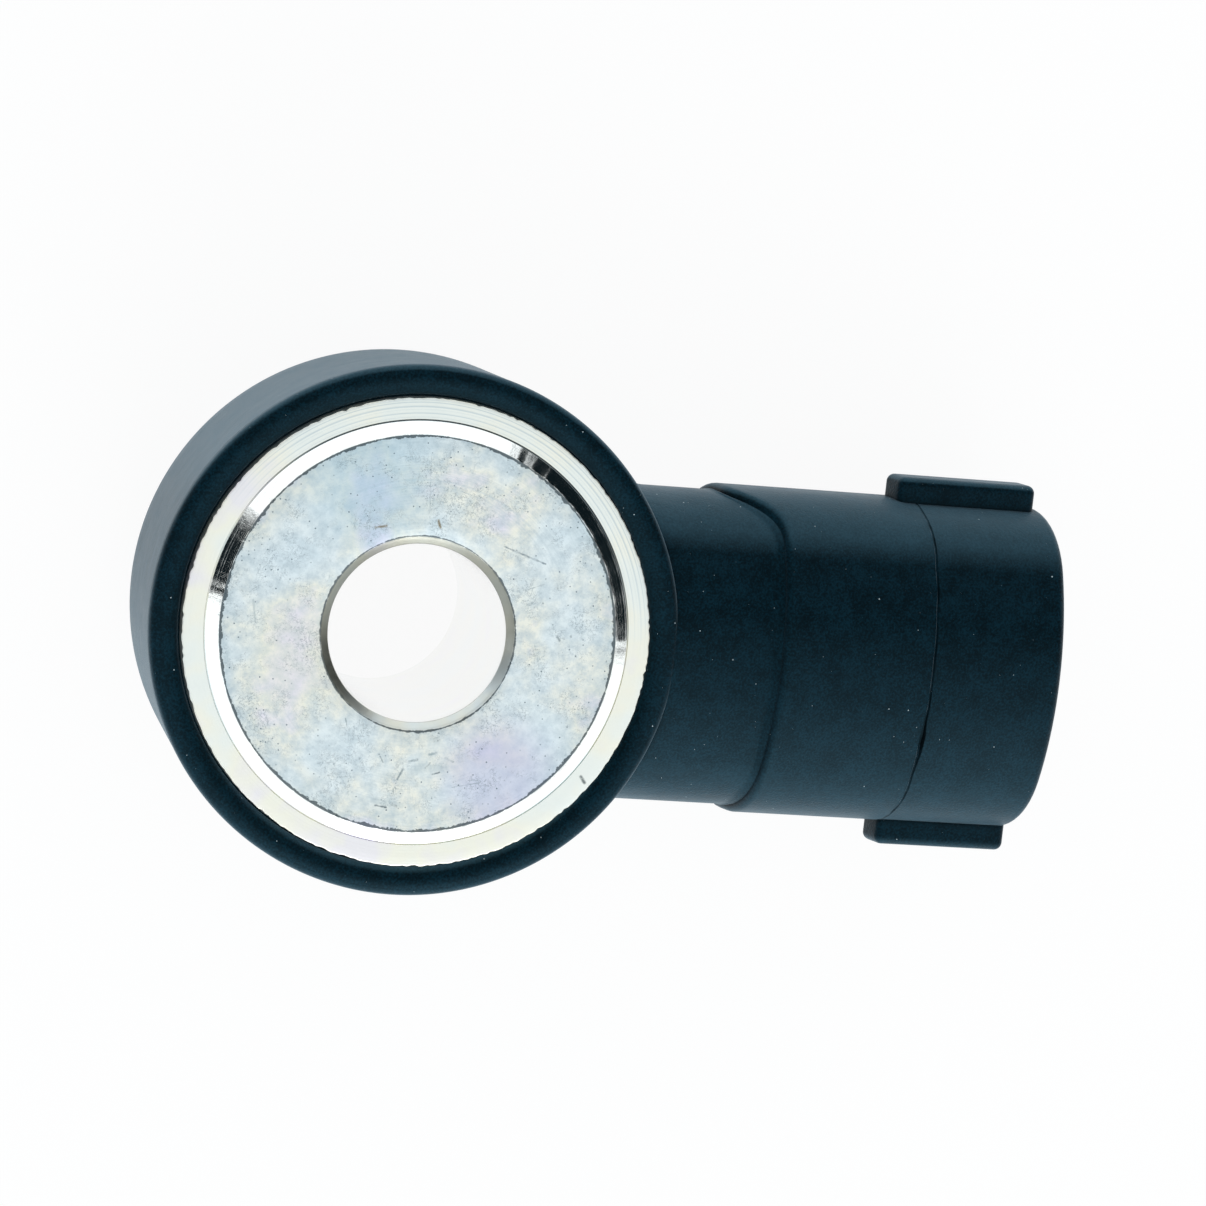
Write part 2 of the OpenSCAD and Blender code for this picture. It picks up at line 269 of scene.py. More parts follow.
# zinc-plated steel with a clear passivate: bright silver with faint yellow, lilac and blue
# patches, a blotchy matt face, turning marks on the ring and a dark burr at the face's edge
zincLook = {
    "silver": "#dee6e7", "blue": "#d6e2e7", "yellow": "#e8e7db", "lilac": "#dddaea",
    "blotch": "#b0bfc6", "haze": "#9fb2ba", "cream": "#eeecdd", "clean": "#f8faf8",
    "tints": [(-3.0, 7.0, 4.5, 0.6, "#a9c6d4"), (4.6, -6.3, 3.6, 0.75, "#bfbfd8"),
              (-5.5, -1.5, 3.5, 0.3, "#e6e2cc")], "hair": "#4c616d", "darkLine": "#22323a", "chamferReflection": "#7f7f74",
    "bore": "#fbfcfb", "roughness": 0.32, "polished": 0.09, "patchMm": 4.0, "blotchMm": 0.6,
    "mottleMm": 0.25, "turningMm": 0.1, "faceEdgeMm": 9.35, "boreEdgeMm": 4.58,
}
# marks on the contact face in millimetres, each a line of points with its half width,
# its colour and how strong it is
faceMarks = {
    "slip": ([(3.63, 4.47), (4.61, 4.16), (5.63, 3.85)], 0.045, "#5f727c", 0.75),
    "tick": ([(4.89, 2.55), (5.67, 2.89)], 0.025, "#71848d", 0.5),
    "dot": ([(6.54, 0.53), (6.71, 0.32)], 0.05, "#5b6c74", 0.6),
    "dotBeside": ([(7.20, 0.59), (7.22, 0.54)], 0.05, "#5b6c74", 0.6),
    "rustLeft": ([(-2.56, 4.78), (-2.06, 4.92)], 0.06, "#7a6a48", 0.8),
    "rustRight": ([(0.37, 5.41), (0.48, 5.08)], 0.06, "#7a6a48", 0.8),
    "hairline": ([(-0.31, 8.44), (-0.2, 6.9), (-0.05, 5.44)], 0.02, "#7d9099", 0.35),
    "scuffLow": ([(-0.2, -6.9), (-0.02, -6.45)], 0.05, "#64777f", 0.7),
    "scuffTop": ([(0.25, -6.02), (0.62, -5.9)], 0.06, "#64777f", 0.6),
    "scuffMid": ([(1.15, -5.62), (1.5, -5.5)], 0.06, "#7b9099", 0.6),
    "scuffEnd": ([(1.95, -5.7), (2.35, -5.85)], 0.05, "#6b8089", 0.6),
    "scuffPatch": ([(0.7, -6.35), (1.9, -6.15)], 0.22, "#a3b4ba", 0.4),
    "scuffShort": ([(1.05, -6.25), (1.25, -6.0)], 0.035, "#5a6d75", 0.7),
    "scuffSide": ([(1.43, -6.52), (1.74, -6.4)], 0.04, "#4d6068", 0.8),
    "rub": ([(-1.1, -8.22), (-0.6, -8.28)], 0.05, "#4b5c64", 0.8),
    "rubSpot": ([(-0.3, -8.12), (-0.12, -8.18)], 0.07, "#4b5c64", 0.7),
    "rubPatch": ([(-1.2, -8.0), (0.1, -8.1)], 0.16, "#9fb0b6", 0.4),
    "rubTop": ([(-0.34, -7.38), (-0.31, -7.63)], 0.025, "#4b5c64", 0.7),
    "pickLeft": ([(-2.95, -4.29), (-2.83, -4.72)], 0.025, "#64777f", 0.6),
    "pickRight": ([(-1.14, -5.89), (-0.96, -6.18)], 0.025, "#5a6d75", 0.7),
    "ringNick": ([(8.52, -6.05), (8.72, -6.3)], 0.08, "#3f4d50", 0.8),
    "edgeNick": ([(-2.88, -8.87), (-2.63, -9.15)], 0.04, "#32434a", 0.9),
    "drawLow": ([(2.41, -7.05), (3.71, -6.71)], 0.018, "#70848c", 0.6),
    "drawHigh": ([(2.8, -6.65), (4.13, -6.63)], 0.015, "#84979e", 0.5),
    "leftRow": ([(-7.89, 0.85), (-7.71, -0.02)], 0.05, "#8a9ca2", 0.4),
}


def drawMark(tree, flat, points, halfWidth, strength, ragged):
    # strength near a line of points on the face, with a ragged outline
    nearest = None
    for (x0, y0), (x1, y1) in zip(points, points[1:]):
        length = math.hypot(x1 - x0, y1 - y0)
        along = Vector(((x1 - x0) / length, (y1 - y0) / length, 0))
        offset = addNode(tree, "ShaderNodeVectorMath", {
            0: flat, 1: (x0 * mm, y0 * mm, 0)}, operation="SUBTRACT").outputs[0]
        run = addNode(tree, "ShaderNodeVectorMath", {0: offset, 1: tuple(along)},
                      operation="DOT_PRODUCT").outputs["Value"]
        run = mathNode(tree, "MINIMUM", mathNode(tree, "MAXIMUM", run, 0.0), length * mm)
        foot = addNode(tree, "ShaderNodeVectorMath", {0: tuple(along), 3: run},
                       operation="SCALE").outputs[0]
        away = addNode(tree, "ShaderNodeVectorMath", {0: offset, 1: foot},
                       operation="DISTANCE").outputs["Value"]
        nearest = away if nearest is None else mathNode(tree, "MINIMUM", nearest, away)
    worn = mathNode(tree, "ADD", nearest, ragged)
    return addNode(tree, "ShaderNodeMapRange", {
        "Value": worn, "From Min": 1.6 * halfWidth * mm, "From Max": 0.4 * halfWidth * mm,
        "To Max": strength}, interpolation_type="SMOOTHSTEP").outputs[0]


def makeZinc(name, look, marks):
    material, tree, principled = newMaterial(name, {"Metallic": 1.0})
    place = addNode(tree, "ShaderNodeTexCoord").outputs["Object"]
    axes = addNode(tree, "ShaderNodeSeparateXYZ", {"Vector": place})
    flat = addNode(tree, "ShaderNodeCombineXYZ", {
        "X": axes.outputs["X"], "Y": axes.outputs["Y"]}).outputs[0]
    radius = addNode(tree, "ShaderNodeVectorMath", {0: flat}, operation="LENGTH").outputs["Value"]

    def band(low, high, blur=0.03):
        # 1 between two radii, 0 outside
        up = addNode(tree, "ShaderNodeMapRange", {
            "Value": radius, "From Min": (low - blur) * mm, "From Max": (low + blur) * mm})
        down = addNode(tree, "ShaderNodeMapRange", {
            "Value": radius, "From Min": (high + blur) * mm, "From Max": (high - blur) * mm})
        return mathNode(tree, "MULTIPLY", up.outputs[0], down.outputs[0])

    def tinted(under, share, hexText):
        return addNode(tree, "ShaderNodeMix", {0: share, 6: under, 7: srgbToLinear(hexText)},
                       data_type="RGBA").outputs[2]

    def noiseAt(sizeMm, detail, roughness, shift=0.0):
        where = addNode(tree, "ShaderNodeVectorMath", {
            0: place, 1: (shift * mm, shift * mm, 0)}, operation="ADD").outputs[0]
        return addNode(tree, "ShaderNodeTexNoise", {
            "Vector": where, "Scale": 1 / (sizeMm * mm), "Detail": detail,
            "Roughness": roughness}).outputs["Fac"]

    patches = noiseAt(look["patchMm"], 3.0, 0.55)
    colour = ramp(tree, patches, [
        (0.30, srgbToLinear(look["blue"])), (0.44, srgbToLinear(look["silver"])),
        (0.56, srgbToLinear(look["yellow"])), (0.68, srgbToLinear(look["lilac"]))]
    ).outputs["Color"]
    onFace = band(look["boreEdgeMm"], look["faceEdgeMm"])
    blotch = noiseAt(look["blotchMm"], 8.0, 0.72)
    mottle = noiseAt(look["mottleMm"], 6.0, 0.7, 31.0)
    fine = ramp(tree, blotch, [(0.4, 0.0), (0.68, 0.75)]).outputs["Color"]
    colour = tinted(colour, mathNode(tree, "MULTIPLY", fine, onFace), look["blotch"])
    # the flange's ring is creamier, the face greyer towards its rim
    colour = tinted(colour, mathNode(tree, "MULTIPLY", band(10.0, 12.0), 0.45), look["cream"])
    towardsRim = addNode(tree, "ShaderNodeMapRange", {
        "Value": radius, "From Min": 8.2 * mm, "From Max": 9.4 * mm, "To Max": 0.6}).outputs[0]
    colour = tinted(colour, mathNode(tree, "MULTIPLY", mathNode(
        tree, "MULTIPLY", towardsRim, onFace), blotch), look["haze"])
    # turning marks: plain on the ring at the socket's left, faint arcs across the face there
    turning = addNode(tree, "ShaderNodeTexNoise", {
        "W": mathNode(tree, "DIVIDE", radius, look["turningMm"] * mm), "Detail": 2.0,
        "Scale": 1.0}, noise_dimensions="1D")
    upper = ramp(tree, addNode(tree, "ShaderNodeVectorMath", {
        0: flat, 1: (0.25 / (10 * mm), 0.97 / (10 * mm), 0)},
        operation="DOT_PRODUCT").outputs["Value"], [(0.25, 0.0), (0.7, 1.0)]).outputs["Color"]
    line = ramp(tree, turning.outputs["Fac"], [(0.5, 0.0), (0.6, 0.55)]).outputs["Color"]
    where = mathNode(tree, "ADD", band(10.1, 11.0), mathNode(
        tree, "MULTIPLY", band(6.9, 7.8, 0.1), 0.5), clamp=True)
    colour = tinted(colour, mathNode(tree, "MULTIPLY", mathNode(
        tree, "MULTIPLY", line, where), upper), look["blotch"])
    # two broad tints: blue towards the upper left, lilac at the lower right
    for x, y, reach, share, tint in look["tints"]:
        away = addNode(tree, "ShaderNodeVectorMath", {
            0: flat, 1: (x * mm, y * mm, 0)}, operation="DISTANCE").outputs["Value"]
        near = addNode(tree, "ShaderNodeMapRange", {
            "Value": away, "From Min": reach * mm, "From Max": 0.3 * reach * mm,
            "To Max": share}, interpolation_type="SMOOTHSTEP").outputs[0]
        colour = tinted(colour, mathNode(tree, "MULTIPLY", mathNode(
            tree, "MULTIPLY", near, onFace), mathNode(tree, "ADD", patches, 0.3)), tint)
    # hairlines: thin winding lines where one noise crosses its middle, in scattered places only
    crossing = mathNode(tree, "ABSOLUTE", mathNode(tree, "SUBTRACT", mottle, 0.5))
    thin = addNode(tree, "ShaderNodeMapRange", {
        "Value": crossing, "From Min": 0.018, "From Max": 0.004}).outputs[0]
    places = ramp(tree, noiseAt(1.3, 4.0, 0.6, 57.0), [(0.47, 0.0), (0.62, 0.75)]).outputs["Color"]
    hair = mathNode(tree, "MULTIPLY", mathNode(tree, "MULTIPLY", thin, places), onFace)
    colour = tinted(colour, hair, look["hair"])
    # pits: tiny dark dots, thicker towards the rim of the face
    cells = addNode(tree, "ShaderNodeTexVoronoi", {
        "Vector": flat, "Scale": 1 / (0.3 * mm), "Randomness": 1.0}, voronoi_dimensions="2D")
    cellPick = addNode(tree, "ShaderNodeSeparateColor", {"Color": cells.outputs["Color"]})
    rimward = addNode(tree, "ShaderNodeMapRange", {
        "Value": radius, "From Min": 5.5 * mm, "From Max": 9.3 * mm,
        "To Min": 0.05, "To Max": 0.3}).outputs[0]
    pitted = mathNode(tree, "LESS_THAN", cellPick.outputs["Red"], rimward)
    pit = mathNode(tree, "MULTIPLY", pitted, mathNode(
        tree, "LESS_THAN", cells.outputs["Distance"], 0.11))
    colour = tinted(colour, mathNode(tree, "MULTIPLY", mathNode(
        tree, "MULTIPLY", pit, cellPick.outputs["Green"]), onFace), look["hair"])
    ragged = mathNode(tree, "MULTIPLY", mathNode(tree, "SUBTRACT", mottle, 0.45), 0.12 * mm)
    broken = ramp(tree, noiseAt(0.35, 4.0, 0.7, 13.0), [(0.38, 0.3), (0.52, 1.0)]).outputs["Color"]
    for points, halfWidth, markColour, strength in marks.values():
        mark = drawMark(tree, flat, points, halfWidth, strength, ragged)
        colour = tinted(colour, mathNode(tree, "MULTIPLY", mark, broken), markColour)
    # burr lines: broken dark rims just inside the raised face's edge and round the bore
    uneven = ramp(tree, noiseAt(1.6, 3.0, 0.6, 91.0), [(0.35, 0.35), (0.65, 1.3)]).outputs["Color"]
    for edge, width in ((look["faceEdgeMm"] - 0.03, 0.42), (look["boreEdgeMm"] + 0.03, 0.22)):
        offset = mathNode(tree, "ABSOLUTE", mathNode(tree, "SUBTRACT", radius, edge * mm))
        reach = mathNode(tree, "MULTIPLY", mathNode(
            tree, "MULTIPLY", mathNode(tree, "SUBTRACT", mottle, 0.3), uneven), width * mm)
        darkLine = mathNode(tree, "LESS_THAN", offset, reach)
        colour = tinted(colour, mathNode(tree, "MULTIPLY", darkLine, 0.8), look["darkLine"])
    # painted reflection: the bore's chamfer is painted dark and brownish, fading to pale on the low side
    side = addNode(tree, "ShaderNodeVectorMath", {
        0: flat, 1: (0.35 / (4.5 * mm), -0.94 / (4.5 * mm), 0)}, operation="DOT_PRODUCT")
    paintedReflection = ramp(tree, mathNode(tree, "ADD", side.outputs["Value"], mathNode(
        tree, "MULTIPLY", patches, 0.4)), [(0.45, 0.85), (0.95, 0.15)]).outputs["Color"]
    colour = tinted(colour, mathNode(tree, "MULTIPLY", paintedReflection, band(4.21, look["boreEdgeMm"], 0.01)),
                    look["chamferReflection"])
    colour = tinted(colour, mathNode(tree, "MULTIPLY", band(
        look["faceEdgeMm"] + 0.02, 9.97, 0.01), 0.8), look["clean"])
    # painted shade: a thin dark line in the corner at the foot of the bevel, on the upper side only
    colour = tinted(colour, mathNode(tree, "MULTIPLY", upper, band(9.98, 10.05, 0.015)),
                    look["darkLine"])
    inBore = mathNode(tree, "LESS_THAN", radius, 4.208 * mm)
    colour = tinted(colour, mathNode(tree, "MULTIPLY", inBore, 0.85), look["bore"])
    tree.links.new(colour, principled.inputs["Base Color"])
    rough = addNode(tree, "ShaderNodeMapRange", {
        "Value": blotch, "To Min": look["roughness"] - 0.1, "To Max": look["roughness"] + 0.2})
    # the bevel and the bore were cut last and shine
    shiny = mathNode(tree, "MAXIMUM", inBore, band(look["faceEdgeMm"] + 0.02, 9.99, 0.01))
    satin = addNode(tree, "ShaderNodeMix", {0: shiny, 2: rough.outputs[0], 3: look["polished"]})
    tree.links.new(satin.outputs[0], principled.inputs["Roughness"])
    lathe = addNode(tree, "ShaderNodeBump", {
        "Height": turning.outputs["Fac"], "Strength": 0.3, "Distance": 0.02 * mm})
    pits = addNode(tree, "ShaderNodeBump", {
        "Height": mottle, "Strength": 0.2, "Distance": 0.03 * mm,
        "Normal": lathe.outputs["Normal"]})
    tree.links.new(pits.outputs["Normal"], principled.inputs["Normal"])
    return material


zincPlatedSteel = makeZinc("zincPlatedSteel", zincLook, faceMarks)


def makePlain(name, colour, metallic, roughness, grainMm, darker=0.8):
    # one finish with fine speckle in colour, roughness and surface
    material, tree, principled = newMaterial(name, {"Metallic": metallic})
    place = addNode(tree, "ShaderNodeTexCoord").outputs["Object"]
    grain = addNode(tree, "ShaderNodeTexNoise", {
        "Vector": place, "Scale": 1 / (grainMm * mm), "Detail": 4.0})
    light = srgbToLinear(colour)
    dark = (*(c * darker for c in light[:3]), 1)
    mix = addNode(tree, "ShaderNodeMix", {0: grain.outputs["Fac"], 6: dark, 7: light},
                  data_type="RGBA")
    tree.links.new(mix.outputs[2], principled.inputs["Base Color"])
    rough = addNode(tree, "ShaderNodeMapRange", {
        "Value": grain.outputs["Fac"], "To Min": roughness - 0.06, "To Max": roughness + 0.06})
    tree.links.new(rough.outputs[0], principled.inputs["Roughness"])
    bump = addNode(tree, "ShaderNodeBump", {
        "Height": grain.outputs["Fac"], "Strength": 0.2, "Distance": 0.02 * mm})
    tree.links.new(bump.outputs["Normal"], principled.inputs["Normal"])
    return material


innerFinishes = {
    "tinnedBrass": ("#c9c8c0", 1.0, 0.32, 0.4),        # pins and resistor ends: soft bright tin
    "rolledBrass": ("#c9a65a", 1.0, 0.30, 0.3),        # electrodes: stamped strip
    "turnedBrass": ("#b8934c", 1.0, 0.35, 0.3),        # seismic mass
    "piezoCeramic": ("#b9b39c", 0.0, 0.55, 0.2),       # fired lead zirconate
    "polyimideFilm": ("#b5792c", 0.0, 0.35, 0.8),      # insulating washers and sleeve
    "bluedSpringSteel": ("#4a4f58", 1.0, 0.38, 0.5),   # disc spring
    "phosphatedSteel": ("#77797a", 1.0, 0.5, 0.25),    # clamp nut
    "mouldedPolyester": ("#15191b", 0.0, 0.5, 0.3),    # terminal carrier
    "resistorCoat": ("#a9855a", 0.0, 0.45, 0.3),       # resistor body
}
finish = {name: makePlain(name, *values) for name, values in innerFinishes.items()}
nodeFinish = {
    "insulating_sleeve": "polyimideFilm", "lower_insulator": "polyimideFilm",
    "upper_insulator": "polyimideFilm", "lower_electrode": "rolledBrass",
    "upper_electrode": "rolledBrass", "piezo_ring": "piezoCeramic",
    "seismic_mass": "turnedBrass", "disc_spring": "bluedSpringSteel",
    "clamp_nut": "phosphatedSteel", "terminal_pin_a": "tinnedBrass",
    "terminal_pin_b": "tinnedBrass", "terminal_carrier": "mouldedPolyester",
    "resistor_body": "resistorCoat", "resistor_cap_a": "tinnedBrass",
    "resistor_cap_b": "tinnedBrass", "resistor_lead_a": "tinnedBrass",
    "resistor_lead_b": "tinnedBrass",
}
for nodeName, finishName in nodeFinish.items():
    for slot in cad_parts[nodeName].material_slots:
        slot.material = finish[finishName]
print("materials made")

# steel sleeve: turned from bar, so every edge has a small break
sleeve = {
    "boreR": 4.2, "tubeR": 5.6, "faceR": 9.35, "bevelW": 0.62, "faceH": 0.45,
    "flangeT": 2.6, "boreChamfer": 0.36, "endChamfer": 0.3, "edge": 0.06, "segments": 360,
}


def sleeveProfile(s):
    ringZ = faceZ - s["faceH"]
    underZ = faceZ - s["flangeT"]
    e = s["edge"]
    return ([(s["boreR"], 0.0), (s["tubeR"] - s["endChamfer"], 0.0),
             (s["tubeR"], s["endChamfer"]), (s["tubeR"], underZ), (flangeR - e, underZ),
             (flangeR, underZ + e), (flangeR, ringZ - e)]
            + arc(flangeR - e, ringZ - e, e, 0, 90, 4)[1:]
            + [(s["faceR"] + s["bevelW"] + 0.07, ringZ), (s["faceR"] + s["bevelW"] + 0.04, ringZ - 0.07),
               (s["faceR"] + s["bevelW"] + 0.01, ringZ - 0.07), (s["faceR"] + s["bevelW"], ringZ),
               (s["faceR"] + e * 1.5, faceZ - e * 1.16),
               (s["faceR"] + e, faceZ - e * 0.8), (s["faceR"] + e * 0.3, faceZ - e * 0.2),
               (s["faceR"] - e, faceZ)]
            + [(s["boreR"] + s["boreChamfer"] + e, faceZ),
               (s["boreR"] + s["boreChamfer"], faceZ - e * 0.4),
               (s["boreR"] + e * 0.5, faceZ - s["boreChamfer"] + e),
               (s["boreR"], faceZ - s["boreChamfer"] - e)])


def raggedEdge(r, z, angle):
    # nicks along the edge of the raised face and a slightly uneven outer edge
    around = Vector((math.cos(angle), math.sin(angle), 0.0))
    if abs(r - sleeve["faceR"]) < 0.1 and z > faceZ - 0.1:
        r += 0.05 * noise.noise(around * 24) + 0.03 * noise.noise(around * 90)
    if r > flangeR - 0.1 and z > faceZ - sleeve["faceH"] - 0.1:
        r -= 0.1 * abs(noise.noise(around * 30) + 0.7 * noise.noise(around * 75))
    return r, z


bm = bmesh.new()
latheRings(bm, subdivided(sleeveProfile(sleeve), 0.9), sleeve["segments"], raggedEdge)
sleeveObj = finishMesh(bm, "flangedSleeve", zincPlatedSteel, sharpDeg=24)
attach(sleeveObj, "root")
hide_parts("flanged_sleeve")
print("sleeve turned")

# housing: round body, neck and shroud of the plug socket, moulded in one shot
housing = {
    "bodyR": 12.55, "rimDrop": 0.85, "rimR": 0.42, "crestR": 11.95, "narrowR": 12.15, "narrowZ": 3.2, "coneH": 1.1,
    "footR": 10.5, "footZ": 0.4, "footEdge": 0.8, "valleyDrop": 0.42, "flashMm": 0.07,
    "segments": 320, "lean": 15.0, "axisDrop": 2.5,
    "shroudW": 15.6, "shroudT": 10.5, "shroudR": 4.2, "crownR": 14.0,
    "neckW": 15.0, "neckStepNear": 0.6, "neckStepFar": 0.6, "neckR": 3.9,
    "shoulderS": 17.1, "shoulderSlant": 2.1, "seamS": 25.0, "mouthS": 32.0, "floorS": 21.0,
    "wall": 1.5, "socketR": 2.2, "shoulderEdge": 0.35, "mouthEdge": 0.5, "lipEdge": 0.2,
    "filletR": 0.7, "seamDepth": 0.12, "seamWidth": 0.075, "partLine": 0.05,
    "ribT": 1.9, "ribH": 1.1, "ribMidT": 0.4, "ribEdge": 0.38, "ribLead": 0.95, "ribShort": 0.5,
}


def bodyProfile(h):
    rimZ = faceZ - h["rimDrop"]
    underZ = faceZ - sleeve["flangeT"]
    valleyZ = rimZ - h["valleyDrop"]
    narrow = h["narrowZ"]
    crestR = h["crestR"]
    splitZ = rimZ - h["rimR"]
    slope = (h["bodyR"] - h["narrowR"]) / (splitZ - narrow)
    points = [(sleeve["tubeR"], h["footZ"])]
    points += arc(h["footR"] - h["footEdge"], h["footZ"] + h["footEdge"], h["footEdge"], -90, 0, 8)
    points += [(h["footR"], narrow - h["coneH"] - 0.25), (h["footR"] + 0.08, narrow - h["coneH"])]
    points += [(h["narrowR"] - 0.35, narrow - 0.22), (h["narrowR"] - 0.08, narrow + 0.02),
               (h["narrowR"] + slope * 0.3, narrow + 0.3)]
    # the mould's split line just below the rim
    for drop, inset in ((0.34, 0.0), (0.28, 0.05), (0.24, 0.05), (0.18, -0.012), (0.1, -0.006)):
        points.append((h["bodyR"] - slope * drop - inset, splitZ - drop))
    # outer edge, then a crest that falls gently outwards and in a broad curve to the steel
    points += arc(h["bodyR"] - h["rimR"], splitZ - 0.06, h["rimR"], 0, 82, 10)
    points.append((crestR + 0.1, rimZ - 0.005))
    inner = crestR - flangeR - 0.08
    for k in range(1, 11):
        a = math.radians(90 + 9 * k)
        points.append((crestR + inner * math.cos(a),
                       rimZ - h["valleyDrop"] * (1 - math.sin(a))))
    points += [(flangeR, valleyZ), (flangeR, underZ), (massHigh.x, underZ),
               (massHigh.x, massLow.z), (springHigh.x, massLow.z), (springHigh.x, springLow.z),
               (nutHigh.x, springLow.z), (nutHigh.x, nutLow.z), (sleeve["tubeR"], nutLow.z)]
    return points


def flashEdge(r, z, angle):
    # where the plastic meets the steel its edge is a ragged film
    valleyZ = faceZ - housing["rimDrop"] - housing["valleyDrop"]
    around = Vector((math.cos(angle), math.sin(angle), 3.0))
    if abs(r - flangeR) < 0.03 and abs(z - valleyZ) < 0.03:
        r -= housing["flashMm"] * abs(noise.noise(around * 14) + 0.6 * noise.noise(around * 50))
    return r, z


def ovalRing(width, thick, radius, crown, shift=0.0, corner=12, broad=18, flat=9):
    # a section of (across, thickness) points: crowned broad sides run smoothly into round
    # corners; without a crown it is a rounded rectangle. The count is the same for every section
    a, b = width / 2, thick / 2
    tip = math.asin((a - radius) / (crown - radius)) if crown else 0.0
    cornerY = a - radius
    cornerT = b - crown + (crown - radius) * math.cos(tip) if crown else b - radius
    reach = math.pi / 2 - tip
    quarter = [(cornerY + radius * math.cos(reach * i / corner),
                cornerT + radius * math.sin(reach * i / corner)) for i in range(corner + 1)]
    if crown:
        top = [(crown * math.sin(tip * (1 - 2 * k / broad)),
                b - crown + crown * math.cos(tip * (1 - 2 * k / broad))) for k in range(1, broad)]
    else:
        top = [(cornerY * (1 - 2 * k / broad), b) for k in range(1, broad)]
    side = [(a, -cornerT + 2 * cornerT * k / flat) for k in range(1, flat)]
    points = quarter + top + [(-y, t) for y, t in reversed(quarter)]
    points += [(-y, -t) for y, t in side]
    points += [(-y, -t) for y, t in quarter] + [(-y, -t) for y, t in top]
    points += [(y, -t) for y, t in reversed(quarter)] + side
    return [(y, t + shift) for y, t in points]


def grown(ring, amount):
    # moves every point of a section along its own outward normal
    count = len(ring)
    amounts = amount if isinstance(amount, list) else [amount] * count
    result = []
    for i, (py, pt) in enumerate(ring):
        (ay, at), (by, bt) = ring[i - 1], ring[(i + 1) % count]
        normal = Vector((bt - at, ay - by))
        normal.normalize()
        result.append((py + normal.x * amounts[i], pt + normal.y * amounts[i]))
    return result


lean = math.radians(housing["lean"])
socketAxis = Vector((math.cos(lean), 0, -math.sin(lean)))
socketUp = Vector((math.sin(lean), 0, math.cos(lean)))
socketStart = Vector((0, 0, faceZ - housing["axisDrop"]))


def socketPoint(s, y, t):
    # a point of the socket's own frame, in millimetres, as a place in metres
    return (socketStart + socketAxis * s + Vector((0, y, 0)) + socketUp * t) * mm


def wallStation(y, t, radius):
    # how far along the socket axis a line across the section meets a cylinder round the bore
    x = math.sqrt(max(radius ** 2 - y ** 2, 0))
    return (x - t * math.sin(lean)) / math.cos(lean)


def slanted(h, s, y, t):
    # on the left side wall the shoulder runs back towards the body as it goes down
    share = smoothStep(2.5, 6.8, y) * (1 - smoothStep(0.6, 3.6, t))
    reach = smoothStep(11.0, h["shoulderS"] - 0.3, s) * (1 - smoothStep(18.5, 23.0, s))
    return s - h["shoulderSlant"] * share * reach


